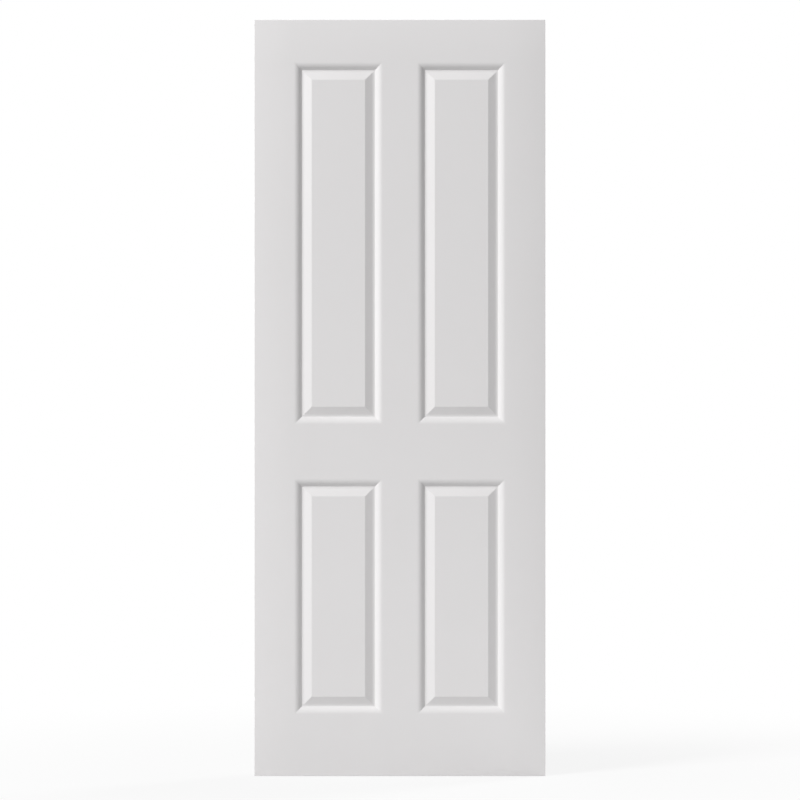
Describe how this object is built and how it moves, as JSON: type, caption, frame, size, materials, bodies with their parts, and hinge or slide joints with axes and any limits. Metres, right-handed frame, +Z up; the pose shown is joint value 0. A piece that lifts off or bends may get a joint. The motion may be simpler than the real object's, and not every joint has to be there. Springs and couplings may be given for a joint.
{
  "type": "moulded panel fire door leaf",
  "caption": "White primed moulded panel fire door leaf: pressed facings of raised-and-fielded panels glued over a softwood frame, lock blocks and a solid core, ready to hang.",
  "frame": {"origin": "on the hinge edge, at mid-thickness and at the foot of the leaf", "axes": "+X from the hinge edge to the lock edge, +Y from the front face to the back face, +Z up"},
  "size_m": [0.762, 0.044, 1.981],
  "materials": {
    "primed_facing": "white primer on fibreboard",
    "softwood": "planed softwood",
    "core_board": "raw particleboard"
  },
  "bodies": {
    "root": {"front_facing": "primed_facing", "back_facing": "primed_facing", "hinge_stile": "softwood", "lock_stile": "softwood", "top_rail": "softwood", "bottom_rail": "softwood", "hinge_side_block": "softwood", "lock_side_block": "softwood", "lower_core": "core_board", "middle_core": "core_board", "upper_core": "core_board"}
  },
  "joints": []
}
